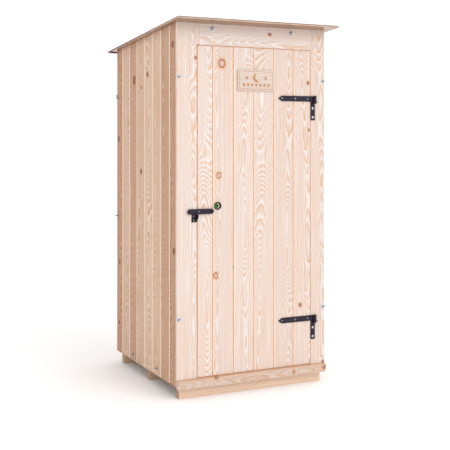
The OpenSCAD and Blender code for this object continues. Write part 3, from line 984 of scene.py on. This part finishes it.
def screw_head(bm, at, normal, radius, turn=0.0):
    """A countersunk screw head: a shallow dome with a cross recess."""
    matrix = facing(at, normal, turn)
    low = -0.9 * MM
    under = low - 0.2 * MM
    lathe(bm, [
        (0, low), (0.32 * radius, low), (0.42 * radius, 0.35 * MM),
        (0.85 * radius, 0.25 * MM), (radius, -0.1 * MM), (radius, under), (0, under),
    ], matrix, 20)
    wide = 0.2 * radius
    rise = 0.45 * MM
    for quarter in range(4):
        turned = matrix @ Matrix.Rotation(math.radians(90 * quarter + 45), 4, "Z")
        points = ((0, 0, low), (wide, -wide, rise), (0.5 * radius, 0, 0.4 * MM), (wide, wide, rise))
        bm.faces.new([bm.verts.new(turned @ Vector(p)) for p in points])


def fixings(name, body, build):
    """One joined mesh of zinc fixings on a body."""
    bm = bmesh.new()
    build(bm)
    finish_piece(name, bm, ZINC, body)


def cabin_wing_nuts(bm):
    """Six on the front, four on each side, each (place, turn in degrees)."""
    edge_x = -left_low.x - 10 * MM
    for x, z, turn in (
        (-edge_x, 1.832, 8), (-edge_x, 0.457, 38), (edge_x, 1.832, 12), (edge_x, 0.457, 35),
        (-0.270, 2.112, 62), (0.250, 2.112, 75),
    ):
        wing_nut(bm, (x, panel_low.y, z), OUT_FRONT, turn)
    back_y = left_high.y - 22 * MM
    rail_low, rail_high = corners("left_floor_rail")
    floor_z = (rail_low.z + rail_high.z) / 2
    for x, normal in ((left_low.x, OUT_LEFT), (-left_low.x, OUT_RIGHT)):
        for y, z, turn in (
            (back_y, 1.757, 80), (back_y, 0.970, 25), (-0.195, floor_z, 30), (0.210, floor_z, 15),
        ):
            wing_nut(bm, (x, y, z), normal, turn)


def strap_screws(bm):
    """Three screws in each hinge strap, each (place along the strap, turn in degrees)."""
    for level in ("upper", "lower"):
        low, high = corners("hinge_strap_" + level)
        middle_z = (low.z + high.z) / 2
        for along, turn in ((27 * MM, 10), (117 * MM, 50), (204 * MM, 75)):
            at = (low.x + along, panel_low.y - 4 * MM, middle_z)
            screw_head(bm, at, OUT_FRONT, 4.2 * MM, turn)


def cabin_bolts(bm):
    """Domed bolts in the hinge plates and the catch."""
    for level in ("upper", "lower"):
        x = corners("hinge_plate_" + level)[0].x + 11.5 * MM
        top = corners("hinge_strap_" + level)[0].z
        for down in (41 * MM, 95 * MM):
            dome_head(bm, (x, panel_low.y - 4 * MM, top - down), OUT_FRONT, 8.2 * MM, 4.0 * MM)
    low, high = corners("latch_catch")
    x = (low.x + high.x) / 2 - 2 * MM
    for up in (11.5 * MM, 35 * MM):
        dome_head(bm, (x, panel_low.y - 3 * MM, low.z + up), OUT_FRONT, 3.6 * MM, 1.8 * MM)


def hinge_tails():
    """A short forged tail beside each hinge pin's boss."""
    profile = in_mm([(0, 0), (2.2, 0), (2.2, 9), (1.9, 12), (1.1, 13.5), (0, 14.0)])
    bm = bmesh.new()
    for level in ("upper", "lower"):
        low, high = corners("hinge_plate_" + level)
        strap_low = corners("hinge_strap_" + level)[0]
        at = (high.x - 3 * MM, low.y + 10 * MM, strap_low.z - 2.5 * MM)
        lathe(bm, profile, facing(at, OUT_RIGHT), 14)
    finish_piece("hinge_tails", bm, STEEL, "cabin")


def rib(bm, x0, x1, y, z, half, high):
    """A pressed rib along X that stands high off a face at y, its ends (dx in mm, share) in turn."""
    steps = ((0, 0.02), (1.5, 0.55), (4, 1.0), (-4, 1.0), (-1.5, 0.55), (0, 0.02))
    facets = 8
    rows = []
    for i, (dx, size) in enumerate(steps):
        x = (x0 if i < 3 else x1) + dx * MM
        row = []
        for j in range(facets + 1):
            t = math.pi * j / facets
            out = high * size * math.sin(t)
            up = half * max(size, 0.3) * math.cos(t)
            row.append(bm.verts.new((x, y - out, z + up)))
        rows.append(row)
    for one, two in zip(rows, rows[1:]):
        for j in range(facets):
            bm.faces.new((one[j], one[j + 1], two[j + 1], two[j])).smooth = True


def latch_details():
    """The bar's two pressed ribs and the small rivet between them."""
    low, high = corners("latch_bar")
    z = (low.z + high.z) / 2
    bm = bmesh.new()
    for x0, x1 in ((low.x + 12 * MM, low.x + 62 * MM), (low.x + 84 * MM, high.x - 27 * MM)):
        rib(bm, x0, x1, low.y, z, 5 * MM, 2.2 * MM)
    finish_piece("latch_rib", bm, STEEL, "latch_bar")
    bm = bmesh.new()
    dome_head(bm, (low.x + 72 * MM, low.y, z), OUT_FRONT, 2.6 * MM, 1.4 * MM)
    finish_piece("latch_rivet", bm, ZINC, "latch_bar")


fixings("cabin_wing_nuts", "cabin", cabin_wing_nuts)
fixings("strap_screws", "door", strap_screws)
fixings("hinge_plate_bolts", "cabin", cabin_bolts)
hinge_tails()
latch_details()


# -------- sign and indicator


def flat_shape(bm, outline, y, thick):
    """A thin plate from an outline in X and Z, its face at y."""
    front = [bm.verts.new((x, y, z)) for x, z in outline]
    back = [bm.verts.new((x, y + thick, z)) for x, z in outline]
    plate(bm, front, back)


def crescent(cx, cz, radius, hollow, shift, turn, steps=28):
    """A moon: a circle with a second circle, moved along by shift, cut out of it."""
    meet_x = (radius ** 2 - hollow ** 2 + shift ** 2) / (2 * shift)
    meet_z = math.sqrt(radius ** 2 - meet_x ** 2)
    reach = math.degrees(math.atan2(meet_z, meet_x))
    bite = math.degrees(math.atan2(meet_z, meet_x - shift))
    outline = arc(0, 0, radius, reach, 360 - reach, steps)
    outline += arc(shift, 0, hollow, 360 - bite, bite, steps)[1:-1]
    cos_turn, sin_turn = math.cos(math.radians(turn)), math.sin(math.radians(turn))
    return [(cx + x * cos_turn - z * sin_turn, cz + x * sin_turn + z * cos_turn) for x, z in outline]


def star(cx, cz, radius):
    """A five-pointed star's outline."""
    tips = []
    for i in range(10):
        reach = radius if i % 2 == 0 else 0.42 * radius
        angle = math.radians(90 + 36 * i)
        tips.append((cx + reach * math.cos(angle), cz + reach * math.sin(angle)))
    return tips


def lozenge(cx, cz):
    """One lozenge of the row under the moon."""
    return [(cx - 10.5 * MM, cz), (cx, cz - 11 * MM), (cx + 10.5 * MM, cz), (cx, cz + 11 * MM)]


def build_sign():
    """A planed board with a moon, two stars, a row of lozenges and a border line burnt into it."""
    low, high = corners("sign_board")
    mid_x, mid_z = (low.x + high.x) / 2, (low.z + high.z) / 2
    timber = Timber()
    middle = (mid_z, low.y, mid_x)
    marks = marks_for(middle, 0.1, [], 0.10)
    ease = 1.2 * MM
    stations = [(low.x, ease), (low.x + ease, 0.0), (high.x - ease, 0.0), (high.x, ease)]
    timber.prism(bar_profile(low.z, high.z, low.y, high.y, ease), stations, lying_x, middle, marks)
    timber.piece("sign_board_wood", SIGN, "door", "sign_wood", "sign_board")

    shapes = [crescent(mid_x + 4 * MM, mid_z + 16 * MM, 26 * MM, 22 * MM, 12 * MM, 20)]
    shapes += [star(mid_x + dx * MM, mid_z + 14 * MM, 14 * MM) for dx in (-62, 62)]
    shapes += [lozenge(mid_x + i * 27 * MM, mid_z - 27 * MM) for i in range(-3, 4)]
    inset, line = 9 * MM, 2.6 * MM
    x0, x1, z0, z1 = low.x + inset, high.x - inset, low.z + inset, high.z - inset
    for (ax, az), (bx, bz) in (
        ((x0, z0), (x1, z0 + line)), ((x0, z1 - line), (x1, z1)),
        ((x0, z0 + line), (x0 + line, z1 - line)), ((x1 - line, z0 + line), (x1, z1 - line)),
    ):
        shapes.append([(ax, az), (bx, az), (bx, bz), (ax, bz)])
    bm = bmesh.new()
    for shape in shapes:
        flat_shape(bm, shape, low.y - 0.25 * MM, 0.5 * MM)
    finish_piece("sign_moon", bm, BURNT, "door")


def build_indicator():
    """A black bezel round a green window, a black blade and a pale arc."""
    ring_low, ring_high = corners("indicator_ring")
    disc_low, disc_high = corners("indicator_disc")
    mid_x, mid_z = (ring_low.x + ring_high.x) / 2, (ring_low.z + ring_high.z) / 2
    outer = (ring_high.x - ring_low.x) / 2
    inner = (disc_high.x - disc_low.x) / 2
    out = ring_high.y - ring_low.y
    bm = bmesh.new()
    bezel = [
        (inner, 0.0), (outer, 0.0), (outer, out * 0.62), (outer - 0.8 * MM, out * 0.86),
        (outer - 2 * MM, out), (inner + 1.6 * MM, out), (inner + 0.5 * MM, out * 0.86),
        (inner, out * 0.6), (inner, 0.0),
    ]
    lathe(bm, bezel, facing((mid_x, ring_high.y, mid_z), OUT_FRONT), 48)
    finish_piece("indicator_bezel", bm, BLACK, "door", ["indicator_ring"])

    window_y = ring_high.y - 3.4 * MM
    bm = bmesh.new()
    flat_shape(bm, arc(mid_x, mid_z, inner - 0.1 * MM, 0, 360, 47)[:-1], window_y, 3.2 * MM)
    finish_piece("indicator_window", bm, GREEN, "door", ["indicator_disc"])

    bm = bmesh.new()
    edge = arc(mid_x, mid_z, inner - 0.2 * MM, -132, 132, 28)
    hollow = arc(mid_x - 19.0 * MM, mid_z, 13.5 * MM, 64, -64, 14)
    flat_shape(bm, edge + hollow, window_y - 0.8 * MM, 0.8 * MM)
    finish_piece("indicator_blade", bm, BLACK, "door")

    bm = bmesh.new()
    outside = arc(mid_x - 7.5 * MM, mid_z, 16.0 * MM, -78, 78, 24)
    inside = arc(mid_x - 9.5 * MM, mid_z, 13.8 * MM, 84, -84, 24)
    flat_shape(bm, outside + inside, window_y - 1.4 * MM, 0.6 * MM)
    finish_piece("indicator_arc", bm, SILVER, "door")


def nail_heads(bm):
    for x, z in ((0.181, 1.859), (0.203, 1.837)):
        dome_head(bm, (x, panel_low.y, z), OUT_FRONT, 2.8 * MM, 1.4 * MM)


build_sign()
build_indicator()
fixings("door_nails", "door", nail_heads)


# -------- studio


def make_floor():
    bm = bmesh.new()
    bmesh.ops.create_grid(bm, x_segments=1, y_segments=1, size=60.0)
    mesh = bpy.data.meshes.new("studio_floor")
    bm.to_mesh(mesh)
    bm.free()
    mesh.materials.append(floor_paint())
    ground = bpy.data.objects.new("studio_floor", mesh)
    bpy.context.scene.collection.objects.link(ground)


def make_lights():
    """A white world that is brighter to the right, and a soft sun from the front left."""
    world = bpy.data.worlds.new("studio")
    world.use_nodes = True
    nodes, links = world.node_tree.nodes, world.node_tree.links
    axes = nodes.new("ShaderNodeSeparateXYZ")
    links.new(nodes.new("ShaderNodeTexCoord").outputs["Generated"], axes.inputs[0])
    level = nodes.new("ShaderNodeMapRange")
    from_x, to_x, left_strength, right_strength = -0.45, 0.12, 0.95, 1.20
    for socket, value in zip(level.inputs[1:], (from_x, to_x, left_strength, right_strength)):
        socket.default_value = value
    links.new(axes.outputs["X"], level.inputs[0])
    links.new(level.outputs[0], nodes["Background"].inputs["Strength"])
    nodes["Background"].inputs["Color"].default_value = (1.0, 1.0, 1.0, 1.0)
    bpy.context.scene.world = world

    sun = bpy.data.lights.new("key", "SUN")
    sun.energy = 0.85
    sun.angle = math.radians(38)
    lamp = bpy.data.objects.new("key", sun)
    lamp.rotation_euler = Vector((-0.36, 0.80, -0.52)).to_track_quat("-Z", "Y").to_euler()
    bpy.context.scene.collection.objects.link(lamp)
    bpy.context.scene.view_settings.view_transform = "Standard"


make_floor()
make_lights()
